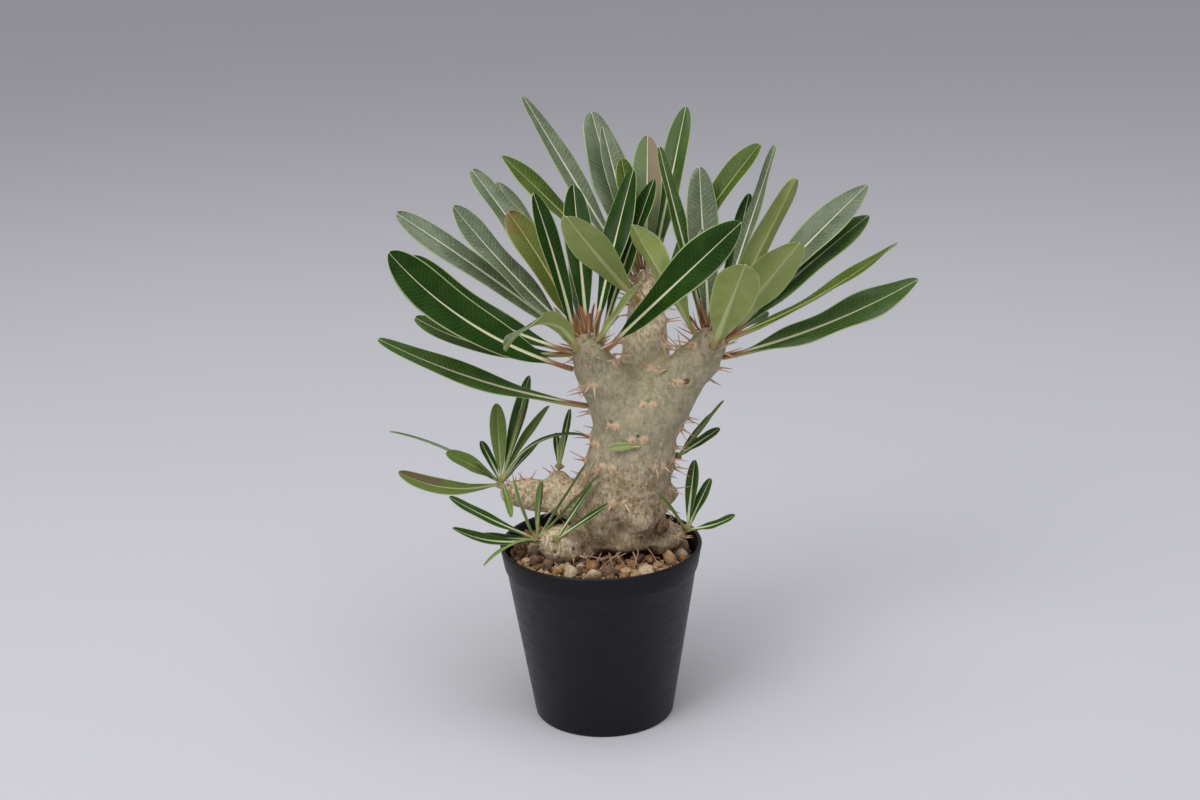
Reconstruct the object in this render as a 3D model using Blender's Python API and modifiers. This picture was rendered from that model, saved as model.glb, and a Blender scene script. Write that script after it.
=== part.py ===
"""A potted pachypodium: a swollen, branched stem with whorls of leathery leaves and small offsets,
bedded in coarse grit in a round nursery pot.

Sizes are in millimetres here and are turned into metres as each mesh is made. The origin is on the
pot's axis, on the surface that the pot stands on, and +Z is up. -Y is the front.
"""

from math import cos, pi, radians, sin

import bmesh
import bpy
from mathutils import Matrix, Vector
from mathutils.bvhtree import BVHTree

MM = 0.001

# ---- Driving dimensions, in millimetres ----
POT_HEIGHT = 94.5
POT_RIM_R = 52.5
POT_FOOT_R = 37.0
POT_WALL = 1.2
POT_FLOOR = 2.0
BAND_HEIGHT = 12.0
BAND_PROUD = 0.9
FOOT_ROUND = 2.0
POT_SIDES = 48
LIP_STEPS = 4
FOOT_STEPS = 2

DRAIN_COUNT = 8
DRAIN_RING_R = 26.0
DRAIN_R = 2.7
DRAIN_SIDES = 10

GRIT_BELOW_RIM = 10.5
GRIT_RINGS = 5
GRIT_BUMP = 0.8
# radians of hump per millimetre, along x and along y, and the share of the bed that the humps cover
GRIT_WAVE_X = 0.26
GRIT_WAVE_Y = 0.31
GRIT_HUMPED_SHARE = 0.9
GRIT_TOP = POT_HEIGHT - GRIT_BELOW_RIM

LEAF_THICKNESS = 1.0
LEAF_STEPS = 9
PETIOLE_WIDTH = 2.4
PETIOLE_SHARE = 0.16
TIP_WIDTH = 1.2
FOLD = 0.16
# powers that put a blade's widest place past its middle, and that round its ends
BLADE_LEAN = 1.45
BLADE_FULLNESS = 0.72

SMALL_LEAF_THICKNESS = 0.8
SMALL_LEAF_STEPS = 6
SMALL_PETIOLE_WIDTH = 1.3
HEART_R = 2.8
HEART_SPREAD = 0.6
HEART_SEGMENTS, HEART_RINGS = 10, 6

STEM_VOXEL = 1.7
STEM_SMOOTHING = 4
STEM_KEPT_SHARE = 0.1
# balls stand apart by this share of the smaller radius
BALL_SPACING = 0.35
BALL_SEGMENTS, BALL_RINGS = 18, 10

# ---- Named clearances, in millimetres ----
GRIT_CLEARANCE = 0.3
STEM_CLEARANCE = 0.45
LEAF_CLEARANCE = 0.9
HEART_CLEARANCE = 0.5

# ---- The stem: each limb is a chain of (x, y, height above the grit, radius) ----
STEM_LIMBS = {
    "trunk": (
        (9, 8, -22, 5), (9, 8, -10, 10), (9, 8, 2, 15), (9, 8, 14, 20), (11, 8, 25, 23.4),
        (13, 8, 38, 23.6), (17, 8, 55, 23), (18.5, 8, 71, 21.5), (21, 9, 82, 19),
    ),
    "left_branch": ((15, 6, 76, 18), (7, 3, 92, 14), (-2, 0, 105, 11), (-4, -2, 114, 9)),
    "right_branch": ((29, 7, 78, 17), (39, 5, 92, 13.5), (51, 3, 105, 11), (57, 1, 115, 9)),
    "middle_branch": (
        (24, 13, 84, 17), (25, 18, 102, 13), (26, 22, 120, 11), (26, 25, 134, 9), (26, 26, 143, 6.5),
    ),
    "left_offset": (
        (3, 8, 26, 16), (-12, 9, 30, 11.5), (-25, 9, 32, 9.2), (-37, 9, 33.5, 8.4), (-46, 8, 35, 7),
    ),
    "stub": ((-21, 9, 34, 8), (-21, 11, 41, 5.5)),
    "front_tuber": (
        (2, 3, 9, 9), (-11, -5, 9, 8.5), (-20, -8, 11.5, 11.2), (-24, -8, 12.5, 8.5), (-27, -8, 13, 5),
    ),
    "right_tuber": ((20, 4, 8, 9), (31, 1, 10, 9.2), (37, 0, 11.5, 7.5), (41, 0, 12.5, 4.6)),
    "back_bud": ((30, 14, 46, 9), (36, 17, 46.5, 5.5)),
    "right_knob": ((32, 8, 32, 7), (38, 8, 33, 3.6)),
}

# ---- Leaves on the three crowns ----
# Each crown is the point inside the stem that its leaves grow away from, its height taken above the grit.
CROWNS = {
    "left": (-4, -2, 114),
    "top": (26, 25, 136),
    "right": (57, 1, 115),
    "shoulder": (12, 4, 82),
}
# Each leaf: heading about +Z (0 is +X, 90 is away from the front), rise of the chord above level,
# length, width, arch (how far it bends down from base to tip), roll about the midrib,
# and set, the height on the crown where it grows, as an angle.
CROWN_LEAVES = {
    "left": (
        (190, 36, 112, 23, -34, -58, -52),
        (178, 32, 95, 17, -36, -38, -6),
        (164, 34, 112, 17, 6, -30, 28),
        (165, 46, 91, 19, -10, -20, 45),
        (137, 44, 109, 18, 8, -5, 75),
        (156, 58, 72, 20, 14, -25, 56),
        (338, 44, 99, 22, 0, 62, -2),
        (99, 64, 78, 15, 0, 0, 62),
        (185, 76, 78, 11, 6, -70, 35),
        (52, 66, 87, 16, 6, 0, 50),
        (44, 62, 88, 14, 4, 0, 15),
        (226, 12, 60, 20, 118, 30, 5),
        (172, 12, 84, 15, -38, -30, -12),
        (316, 48, 46, 7, 0, 0, 45),
        (100, 46, 52, 7, 0, 0, 0),
        (150, 36, 36, 9, 0, 0, 8),
        (126, 44, 101, 14, 4, 0, 40),
    ),
    "top": (
        (153, 41, 100, 16, 8, -10, 10),
        (147, 54, 114, 15, 0, -10, 40),
        (115, 57, 100, 23, 0, 0, 20),
        (117, 63, 84, 11, 4, 0, 40),
        (122, 72, 58, 13, 0, 0, 75),
        (85, 66, 73, 16, 0, 0, 58),
        (62, 62, 94, 14, 0, 0, 45),
        (8, 53, 88, 16, 6, 30, 30),
        (241, 38, 90, 18, -6, 35, -12),
    ),
    "right": (
        (45, 62, 99, 12, 0, -18, 50),
        (58, 62, 77, 10, 0, 0, 10),
        (345, 64, 87, 16, 0, -40, 55),
        (14, 43, 105, 19, 5, 30, 28),
        (16, 37, 98, 17, 5, 30, 0),
        (355, 30, 98, 12, -20, 10, 16),
        (0, 21, 106, 19, -18, 35, -52),
        (303, 44, 86, 20, 0, -35, 20),
        (280, 42, 82, 22, 0, -30, 0),
        (126, 68, 95, 9, 0, 0, 60),
        (97, 75, 82, 17, 0, 0, 50),
        (97, 74, 50, 12, 0, 0, 78),
        (192, 61, 67, 17, 0, 40, 35),
        (60, 3, 60, 14, 0, 0, -15),
    ),
    "shoulder": (
        (186, 21, 113, 15, -20, -30, 5),
    ),
}

# ---- Leaves on the small offsets ----
# Each rosette: the point inside the stem that it faces away from, its height taken above the grit,
# the direction in which it faces, and its leaves: heading, rise, length, width, arch, roll.
ROSETTES = {
    "left": (
        (-44, 8, 35), (-0.75, -0.1, 0.65),
        (
            (98, 72, 41, 9, 0, 0), (58, 60, 58, 9, 0, 0), (40, 46, 48, 7, 20, 0), (36, 68, 48, 4, 0, 0),
            (130, 48, 25, 6, 0, 0), (195, 34, 34, 10, 10, -40), (176, 26, 64, 3, 30, 0),
            (186, 10, 55, 10, -50, -40), (172, 2, 42, 7, -30, 0), (20, 20, 58, 4, 90, 0),
            (45, 30, 33, 4, 0, 0), (284, -25, 26, 4, 40, 0), (205, 45, 19, 5, 0, 0),
        ),
    ),
    "stub": (
        (-21, 10, 40), (0.0, 0.2, 1.0),
        ((75, 46, 34, 4, 0, 0), (95, 37, 22, 4, 0, 0), (300, 76, 19, 3, 0, 0)),
    ),
    "front": (
        (-25, -8, 12.3), (-0.93, 0.0, 0.36),
        (
            (205, 71, 36, 5, -20, 0), (290, 72, 37, 4, 20, 0), (355, 57, 49, 5, 0, 0), (350, 47, 49, 5, 0, 0),
            (200, 33, 54, 8, -10, -30), (203, 17, 48, 7, -40, -30), (190, 8, 33, 6, -10, -30),
            (215, -12, 34, 3, 50, 0),
        ),
    ),
    "front_side": (
        (-21, -8, 12), (-0.15, -0.75, 0.5),
        ((350, 57, 36, 5, 0, 30), (345, 37, 35, 5, 0, 30)),
    ),
    "right": (
        (39.5, 0, 11.5), (0.75, -0.1, 0.62),
        ((70, 66, 36, 7, 0, 0), (50, 46, 30, 7, 0, 0), (345, 21, 27, 7, -30, 20), (225, 50, 35, 4, 0, 0)),
    ),
    "back": (
        (34, 16, 46), (0.8, 0.5, 0.3),
        ((45, 31, 33, 5, 0, 0), (35, 38, 40, 3, 0, 0), (15, 29, 27, 6, 0, 30), (30, 28, 16, 5, 0, 30)),
    ),
}

# ---- Building ----


def remove_scene_objects():
    for old in list(bpy.data.objects):
        bpy.data.objects.remove(old, do_unlink=True)


def new_collection(name):
    made = bpy.data.collections.new(name)
    bpy.context.scene.collection.children.link(made)
    return made


def new_material(name, colour, roughness):
    made = bpy.data.materials.new(name)
    made.use_nodes = True
    shader = made.node_tree.nodes["Principled BSDF"]
    shader.inputs["Base Color"].default_value = (*colour, 1.0)
    shader.inputs["Roughness"].default_value = roughness
    shader.inputs["Metallic"].default_value = 0.0
    return made


def add_object(name, bm, collection, material):
    """Makes an object from a bmesh that was drawn in millimetres."""
    mesh = bpy.data.meshes.new(name)
    bmesh.ops.scale(bm, vec=(MM, MM, MM), verts=bm.verts)
    bm.to_mesh(mesh)
    bm.free()
    mesh.materials.append(material)
    made = bpy.data.objects.new(name, mesh)
    collection.objects.link(made)
    return made


def as_guide(guide):
    guide.hide_render = True
    guide.display_type = "WIRE"
    return guide


def evaluated_copy(source, name, collection):
    """A plain mesh object with the source's modifiers applied."""
    depsgraph = bpy.context.evaluated_depsgraph_get()
    mesh = bpy.data.meshes.new_from_object(source.evaluated_get(depsgraph))
    mesh.name = name
    made = bpy.data.objects.new(name, mesh)
    made.matrix_world = source.matrix_world
    collection.objects.link(made)
    return made


def add_screw(turned):
    screw = turned.modifiers.new("Turn", "SCREW")
    screw.steps = POT_SIDES
    screw.render_steps = POT_SIDES
    screw.use_merge_vertices = True
    screw.merge_threshold = 0.00005


def add_boolean(target, cutter):
    cut = target.modifiers.new("Cut", "BOOLEAN")
    cut.operation = "DIFFERENCE"
    cut.solver = "EXACT"
    cut.object = cutter


def profile_object(name, points, collection, material):
    """An open profile of (radius, height) points in the XZ plane, turned about +Z."""
    bm = bmesh.new()
    rail = [bm.verts.new((radius, 0.0, height)) for radius, height in points]
    for here, there in zip(rail, rail[1:]):
        bm.edges.new((here, there))
    turned = add_object(name, bm, collection, material)
    add_screw(turned)
    turned.data.shade_smooth()
    return turned


# ---- Pot ----


def wall_radius(height):
    """Outer radius of the tapered wall, without the band."""
    top_radius = POT_RIM_R - BAND_PROUD
    share = (height - FOOT_ROUND) / (POT_HEIGHT - FOOT_ROUND)
    return POT_FOOT_R + share * (top_radius - POT_FOOT_R)


def inner_radius(height):
    return wall_radius(height) - POT_WALL


def pot_profile():
    """From the middle of the floor, up the inside, over the lip, down the outside and in below."""
    lip = (POT_RIM_R - inner_radius(POT_HEIGHT)) / 2
    lip_centre = POT_RIM_R - lip
    lip_height = POT_HEIGHT - lip
    points = [(0.0, POT_FLOOR), (inner_radius(POT_FLOOR), POT_FLOOR)]
    for step in range(LIP_STEPS + 1):
        angle = pi * (1 - step / LIP_STEPS)
        points.append((lip_centre + lip * cos(angle), lip_height + lip * sin(angle)))
    band_foot = POT_HEIGHT - BAND_HEIGHT
    points += [
        (wall_radius(band_foot) + BAND_PROUD, band_foot),
        (wall_radius(band_foot - BAND_PROUD), band_foot - BAND_PROUD),
        (wall_radius(FOOT_ROUND), FOOT_ROUND),
    ]
    for step in range(1, FOOT_STEPS + 1):
        angle = -pi / 2 * step / FOOT_STEPS
        points.append((POT_FOOT_R - FOOT_ROUND * (1 - cos(angle)), FOOT_ROUND + FOOT_ROUND * sin(angle)))
    points.append((0.0, 0.0))
    return points


def drain_cutter(collection, material):
    bm = bmesh.new()
    for index in range(DRAIN_COUNT):
        angle = 2 * pi * index / DRAIN_COUNT
        place = Matrix.Translation((DRAIN_RING_R * cos(angle), DRAIN_RING_R * sin(angle), POT_FLOOR / 2))
        bmesh.ops.create_cone(
            bm, cap_ends=True, segments=DRAIN_SIDES, radius1=DRAIN_R, radius2=DRAIN_R,
            depth=POT_FLOOR * 3, matrix=place,
        )
    return as_guide(add_object("drain_holes", bm, collection, material))


def build_pot(parts, cutters):
    plastic = new_material("pot_plastic", (0.012, 0.012, 0.014), 0.42)
    pot = profile_object("pot", pot_profile(), parts, plastic)
    add_boolean(pot, drain_cutter(cutters, plastic))
    return pot


# ---- Stem ----


def above_grit(place):
    """A place from the tables, whose height is taken above the grit, as a point above the ground."""
    x, y, height = place[:3]
    return Vector((x, y, height + GRIT_TOP))


def add_ball(bm, place, radius):
    bmesh.ops.create_uvsphere(
        bm, u_segments=BALL_SEGMENTS, v_segments=BALL_RINGS, radius=radius, matrix=Matrix.Translation(place)
    )


def add_limb(bm, chain):
    """Balls run along the chain, close enough together to read as one swelling limb."""
    for near, far in zip(chain, chain[1:]):
        near_place, far_place = above_grit(near), above_grit(far)
        spacing = BALL_SPACING * min(near[3], far[3])
        count = max(2, round((far_place - near_place).length / spacing))
        for step in range(count + 1):
            share = step / count
            add_ball(bm, near_place.lerp(far_place, share), near[3] + share * (far[3] - near[3]))


def build_stem(parts, cutters):
    """The whole stem grew as one piece: its limbs are fused, softened and thinned to one skin."""
    bark = new_material("stem_bark", (0.42, 0.36, 0.25), 0.75)
    bm = bmesh.new()
    for chain in STEM_LIMBS.values():
        add_limb(bm, chain)
    limbs = add_object("stem_limbs", bm, cutters, bark)
    fuse = limbs.modifiers.new("Fuse", "REMESH")
    fuse.mode = "VOXEL"
    fuse.voxel_size = STEM_VOXEL * MM
    soften = limbs.modifiers.new("Soften", "SMOOTH")
    soften.factor = 0.5
    soften.iterations = STEM_SMOOTHING
    thin = limbs.modifiers.new("Thin", "DECIMATE")
    thin.ratio = STEM_KEPT_SHARE
    stem = evaluated_copy(limbs, "stem", parts)
    bpy.data.objects.remove(limbs)
    stem.data.shade_smooth()
    return stem


def stem_surface(stem):
    """A search tree of the finished stem, in metres."""
    return BVHTree.FromObject(stem, bpy.context.evaluated_depsgraph_get())


def surface_point(surface, inside, direction):
    """Where a line from a point inside the stem leaves it, in millimetres."""
    hit = surface.ray_cast(above_grit(inside) * MM, direction)[0]
    return hit / MM


# ---- Grit ----


def grit_profile():
    bottom = POT_FLOOR + GRIT_CLEARANCE
    edge = inner_radius(GRIT_TOP) - GRIT_CLEARANCE
    points = [(edge * ring / GRIT_RINGS, GRIT_TOP) for ring in range(GRIT_RINGS + 1)]
    points += [(inner_radius(bottom) - GRIT_CLEARANCE, bottom), (0.0, bottom)]
    return points


def roughen_top(grit):
    """Low humps on the grit's top, which leave its outer edge where it is."""
    reach = inner_radius(GRIT_TOP) * GRIT_HUMPED_SHARE
    for vertex in grit.data.vertices:
        x, y, z = vertex.co / MM
        if z > GRIT_TOP - GRIT_BUMP and (x * x + y * y) < reach * reach:
            vertex.co.z += GRIT_BUMP * MM * sin(x * GRIT_WAVE_X) * cos(y * GRIT_WAVE_Y)


def build_grit(parts, cutters, stem):
    stones = new_material("grit_stones", (0.36, 0.22, 0.12), 0.9)
    turned = profile_object("grit_turned", grit_profile(), cutters, stones)
    grit = evaluated_copy(turned, "grit", parts)
    bpy.data.objects.remove(turned)
    roughen_top(grit)
    socket = as_guide(evaluated_copy(stem, "stem_socket", cutters))
    grow = socket.modifiers.new("Grow", "DISPLACE")
    grow.direction = "NORMAL"
    grow.mid_level = 0.0
    grow.strength = STEM_CLEARANCE * MM
    add_boolean(grit, socket)
    return grit


# ---- Leaves ----


def midrib(start, leaf, steps):
    """The leaf's centre line from base to tip: a list of (point, direction)."""
    heading, rise, length, _width, arch = leaf[:5]
    forward = Vector((cos(radians(heading)), sin(radians(heading)), 0.0))
    point = start.copy()
    line = []
    for step in range(steps + 1):
        slope = radians(rise + arch * (0.5 - step / steps))
        line.append((point.copy(), forward * cos(slope) + Vector((0, 0, sin(slope)))))
        middle = radians(rise + arch * (0.5 - (step + 0.5) / steps))
        point += (forward * cos(middle) + Vector((0, 0, sin(middle)))) * (length / steps)
    return line


def half_width(share, width, petiole_width):
    """Half the leaf's width at a share of its length: a narrow stalk, then a blade widest past halfway."""
    along = max(0.0, (share - PETIOLE_SHARE) / (1 - PETIOLE_SHARE))
    blade = max(0.0, sin(pi * along ** BLADE_LEAN)) ** BLADE_FULLNESS
    stalk = petiole_width + share * (TIP_WIDTH - petiole_width)
    return (stalk + (width - stalk) * blade) / 2


def leaf_mesh(leaf, start, steps, petiole_width):
    """An open sheet: a grid laid along the midrib, folded a little up from it on both sides."""
    width = leaf[3]
    roll = radians(leaf[5])
    line = midrib(start, leaf, steps)
    bm = bmesh.new()
    bmesh.ops.create_grid(bm, x_segments=steps, y_segments=2, size=0.5)
    for vertex in bm.verts:
        step = round((vertex.co.x + 0.5) * steps)
        across = vertex.co.y * 2
        point, tangent = line[step]
        side = tangent.cross(Vector((0, 0, 1))).normalized()
        side.rotate(Matrix.Rotation(roll, 3, tangent))
        upper = side.cross(tangent)
        reach = half_width(step / steps, width, petiole_width)
        vertex.co = point + side * (across * reach) + upper * (abs(across) * reach * FOLD * 2)
    return bm


def add_leaf(name, bm, thickness, collection, material):
    leaf = add_object(name, bm, collection, material)
    wall = leaf.modifiers.new("Thickness", "SOLIDIFY")
    wall.thickness = thickness * MM
    wall.offset = 0.0
    leaf.data.shade_smooth()
    return leaf


def aim(heading, rise):
    level = cos(radians(rise))
    return Vector((cos(radians(heading)) * level, sin(radians(heading)) * level, sin(radians(rise))))


def build_crown_leaves(parts, surface):
    green = new_material("leaf_green", (0.045, 0.12, 0.03), 0.45)
    for crown, leaves in CROWN_LEAVES.items():
        for number, leaf in enumerate(leaves, 1):
            outwards = aim(leaf[0], leaf[6])
            start = surface_point(surface, CROWNS[crown], outwards) + outwards * LEAF_CLEARANCE
            bm = leaf_mesh(leaf, start, LEAF_STEPS, PETIOLE_WIDTH)
            add_leaf(f"leaf_{crown}_{number:02d}", bm, LEAF_THICKNESS, parts, green)


def build_rosette(name, rosette, parts, cutters, surface, material):
    """Small leaves grown together at the heart of an offset."""
    inside, facing, leaves = rosette
    facing = Vector(facing).normalized()
    heart_place = surface_point(surface, inside, facing) + facing * (HEART_R + HEART_CLEARANCE)
    bm = bmesh.new()
    bmesh.ops.create_uvsphere(
        bm, u_segments=HEART_SEGMENTS, v_segments=HEART_RINGS, radius=HEART_R,
        matrix=Matrix.Translation(heart_place),
    )
    heart = add_object(f"rosette_{name}", bm, parts, material)
    blades = bpy.data.collections.new(f"blades_{name}")
    cutters.children.link(blades)
    for number, leaf in enumerate(leaves, 1):
        start = heart_place + aim(leaf[0], leaf[1] + leaf[4] / 2) * HEART_R * HEART_SPREAD
        sheet = leaf_mesh(leaf, start, SMALL_LEAF_STEPS, SMALL_PETIOLE_WIDTH)
        as_guide(add_leaf(f"blade_{name}_{number:02d}", sheet, SMALL_LEAF_THICKNESS, blades, material))
    join = heart.modifiers.new("Grow together", "BOOLEAN")
    join.operation = "UNION"
    join.solver = "EXACT"
    join.operand_type = "COLLECTION"
    join.collection = blades
    return heart


def build_rosettes(parts, cutters, surface):
    green = new_material("rosette_green", (0.07, 0.15, 0.04), 0.45)
    for name, rosette in ROSETTES.items():
        build_rosette(name, rosette, parts, cutters, surface, green)


def main():
    remove_scene_objects()
    parts = new_collection("potted_pachypodium")
    cutters = new_collection("cutters")
    build_pot(parts, cutters)
    stem = build_stem(parts, cutters)
    build_grit(parts, cutters, stem)
    surface = stem_surface(stem)
    build_crown_leaves(parts, surface)
    build_rosettes(parts, cutters, surface)


main()
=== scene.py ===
# %% [markdown]
# # A potted pachypodium
# The measured model gives every piece its place and size: the pot, the bed of grit, the stem and a
# plain blade for each leaf. This lesson grows the looks around it. The pot is turned afresh with a
# soft lip, the stem gets its skin, scars and spines, the grit becomes loose stones, and each leaf is
# laid again with a midrib, a stalk and a rounded tip.

import random
from math import cos, exp, pi, radians, sin

import bmesh
import bpy
from mathutils import Euler, Matrix, Vector, noise
from mathutils.bvhtree import BVHTree


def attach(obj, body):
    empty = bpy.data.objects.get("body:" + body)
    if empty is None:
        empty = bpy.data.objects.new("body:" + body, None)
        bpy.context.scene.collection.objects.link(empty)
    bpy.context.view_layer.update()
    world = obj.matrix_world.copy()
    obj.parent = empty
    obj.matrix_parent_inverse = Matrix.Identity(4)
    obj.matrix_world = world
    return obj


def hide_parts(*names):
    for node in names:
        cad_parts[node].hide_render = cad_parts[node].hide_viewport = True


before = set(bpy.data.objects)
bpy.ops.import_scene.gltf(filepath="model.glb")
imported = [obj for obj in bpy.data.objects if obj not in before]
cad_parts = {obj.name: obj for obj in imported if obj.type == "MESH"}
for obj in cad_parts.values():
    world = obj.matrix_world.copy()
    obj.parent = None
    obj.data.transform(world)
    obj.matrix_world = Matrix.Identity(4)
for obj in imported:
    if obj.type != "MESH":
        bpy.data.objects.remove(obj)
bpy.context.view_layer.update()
MM = 0.001
UP = Vector((0, 0, 1))

# %% [markdown]
# ## Camera, floor and light
# A plant is shown best from a little above its rim. The camera is a 50 mm lens some 0.85 m away,
# tipped down 16.6 degrees and leaning a touch to one side, as hand-held cameras do. The axes of the
# camera are written down directly, because that is exact where a Track To constraint isn't.

# %% Camera
scene = bpy.context.scene
PITCH, LEAN = radians(16.62), radians(-1.31)
EYE = (0.001148, -0.8111, 0.41295)
level = Vector((1, 0, 0))
raised = Vector((0, sin(PITCH), cos(PITCH)))
view_right = level * cos(LEAN) + raised * sin(LEAN)
view_up = raised * cos(LEAN) - level * sin(LEAN)
lens = bpy.data.cameras.new("camera")
lens.lens = 50
lens.sensor_width = 36
camera = bpy.data.objects.new("camera", lens)
scene.collection.objects.link(camera)
turn = Matrix((view_right, view_up, view_right.cross(view_up))).transposed().to_4x4()
camera.matrix_world = Matrix.Translation(EYE) @ turn
scene.camera = camera
scene.view_settings.view_transform = "Standard"
print("camera stands", round(camera.matrix_world.translation.length, 3), "m from the pot's foot")

# %% [markdown]
# Materials are node trees, so small helpers come first. One adds a node with its settings and one puts
# a value on a socket, whether a plain number or another node's output. The rest are the few effects
# that every finish is built from: a blend, a sum, a smooth step, a grain and a bump.


# %% Node helpers
def put(tree, socket, value):
    if isinstance(value, bpy.types.NodeSocket):
        tree.links.new(value, socket)
    elif hasattr(value, "__len__") and len(value) == 3 and len(socket.default_value) == 4:
        socket.default_value = (*value, 1.0)
    else:
        socket.default_value = value


def add_node(tree, kind, inputs=(), **settings):
    made = tree.nodes.new(kind)
    for key, value in settings.items():
        setattr(made, key, value)
    for key, value in dict(inputs).items():
        put(tree, made.inputs[key], value)
    return made


def blend(tree, share, first, second):
    """One colour over another by a share from 0 to 1."""
    made = add_node(tree, "ShaderNodeMix", data_type="RGBA")
    put(tree, made.inputs[0], share)
    put(tree, made.inputs[6], first)
    put(tree, made.inputs[7], second)
    return made.outputs[2]


def sums(tree, operation, first, second=0.0, third=0.0):
    made = add_node(tree, "ShaderNodeMath", operation=operation)
    for socket, value in zip(made.inputs, (first, second, third)):
        put(tree, socket, value)
    return made.outputs[0]


def times(tree, first, second):
    return sums(tree, "MULTIPLY", first, second)


def plus(tree, first, second):
    return sums(tree, "ADD", first, second)


def span(tree, value, low, high, to_low=0.0, to_high=1.0):
    """A smooth step: to_low where the value is at low, to_high where it is at high."""
    made = add_node(tree, "ShaderNodeMapRange", interpolation_type="SMOOTHSTEP")
    for key, number in zip(made.inputs[:5], (value, low, high, to_low, to_high)):
        put(tree, key, number)
    return made.outputs[0]


def grain(tree, place, scale, detail=4.0, rough=0.55, stretch=(1, 1, 1)):
    """Noise at a number of cells per metre, stretched by a Mapping node where the grain has a direction."""
    mapped = add_node(tree, "ShaderNodeMapping", {"Vector": place, "Scale": stretch})
    made = add_node(
        tree, "ShaderNodeTexNoise",
        {"Vector": mapped.outputs[0], "Scale": scale, "Detail": detail, "Roughness": rough},
    )
    return made.outputs[0]


def attribute(tree, name):
    return add_node(tree, "ShaderNodeAttribute", attribute_name=name).outputs["Fac"]


def place_of(tree):
    return add_node(tree, "ShaderNodeTexCoord").outputs["Object"]


def new_material(name):
    """An empty material with its Principled shader: returns (material, tree, shader)."""
    made = bpy.data.materials.new(name)
    made.use_nodes = True
    return made, made.node_tree, made.node_tree.nodes["Principled BSDF"]


def bumped(tree, shader, height, strength, distance):
    bump = add_node(tree, "ShaderNodeBump", {"Height": height, "Strength": strength, "Distance": distance})
    tree.links.new(bump.outputs[0], shader.inputs["Normal"])


def roughened(tree, shader, place, scale, low, high):
    put(tree, shader.inputs["Roughness"], span(tree, grain(tree, place, scale), 0.3, 0.7, low, high))


# %% [markdown]
# The floor is one wide plain sheet, so that the plant can be walked round. Its tone falls off away
# from the lamps by itself, which is what makes a studio floor look paler near the pot.

# %% Floor and world
floor_stuff, tree, shader = new_material("studio_floor")
put(tree, shader.inputs["Base Color"], blend(
    tree, grain(tree, place_of(tree), 3.0), (0.555, 0.555, 0.60), (0.575, 0.575, 0.62)))
shader.inputs["Roughness"].default_value = 0.85
bm = bmesh.new()
bmesh.ops.create_grid(bm, x_segments=8, y_segments=8, size=16)
sheet = bpy.data.meshes.new("studio_floor")
bm.to_mesh(sheet)
bm.free()
sheet.materials.append(floor_stuff)
floor = bpy.data.objects.new("studio_floor", sheet)
scene.collection.objects.link(floor)

world = bpy.data.worlds.new("room")
scene.world = world
world.use_nodes = True
sky = world.node_tree.nodes["Background"]
sky.inputs[0].default_value = (0.80, 0.80, 0.82, 1)
sky.inputs[1].default_value = 0.56

# %% [markdown]
# Two wide, soft lamps: a key from the upper left in front, and a large one overhead that puts a sheen on the
# leaves. The grey look of the upturned leaves is also painted sheen, put into their colour. The pale room
# fills the rest.


# %% Lamps
def softbox(name, place, aimed_at, side, watts, colour=(1, 1, 1)):
    lamp = bpy.data.lights.new(name, "AREA")
    lamp.shape = "SQUARE"
    lamp.size = side
    lamp.energy = watts
    lamp.color = colour
    made = bpy.data.objects.new(name, lamp)
    scene.collection.objects.link(made)
    facing = (Vector(aimed_at) - Vector(place)).to_track_quat("-Z", "Y").to_matrix().to_4x4()
    made.matrix_world = Matrix.Translation(place) @ facing


softbox("key", (-1.1, -1.3, 1.7), (0, 0, 0.16), 1.1, 19, (1.0, 0.985, 0.96))
softbox("overhead", (0.1, -0.5, 2.1), (0, 0, 0.16), 1.7, 24)

# %% [markdown]
# ## Finishing a piece
# Every piece is drawn in millimetres in a bmesh and shrunk to metres once. It keeps its place in its mesh and
# rides on the one body that the plant has.


# %% Piece helper
def finish_piece(name, bm, materials, stands_for=()):
    bmesh.ops.scale(bm, vec=(MM, MM, MM), verts=bm.verts)
    mesh = bpy.data.meshes.new(name)
    bm.to_mesh(mesh)
    bm.free()
    for material in materials:
        mesh.materials.append(material)
    mesh.shade_smooth()
    made = bpy.data.objects.new(name, mesh)
    scene.collection.objects.link(made)
    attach(made, "root")
    if stands_for:
        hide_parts(*stands_for)
    return made


def baked(source):
    """The mesh that an object's modifiers make."""
    return bpy.data.meshes.new_from_object(source.evaluated_get(bpy.context.evaluated_depsgraph_get()))


# %% [markdown]
# ## The pot
# A nursery pot is thin moulded polypropylene: a tapered wall, a rim band that stands a little proud with a
# small step below it, a rolled lip, and a raised floor with drain holes. A turned profile gives the true lip
# and step, and its extra points round the moulded corners. The holes are cut from it.

# %% Pot sizes
POT_HEIGHT, RIM_R, FOOT_R, WALL, FLOOR, BAND, PROUD = 94.5, 52.5, 37.0, 1.2, 2.0, 12.0, 0.9
GRIT_TOP = 84.0
DRAINS, DRAIN_RING, DRAIN_R = 8, 26.0, 2.7


def outer_radius(height):
    return FOOT_R + (height - FLOOR) / (POT_HEIGHT - FLOOR) * (RIM_R - PROUD - FOOT_R)


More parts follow.
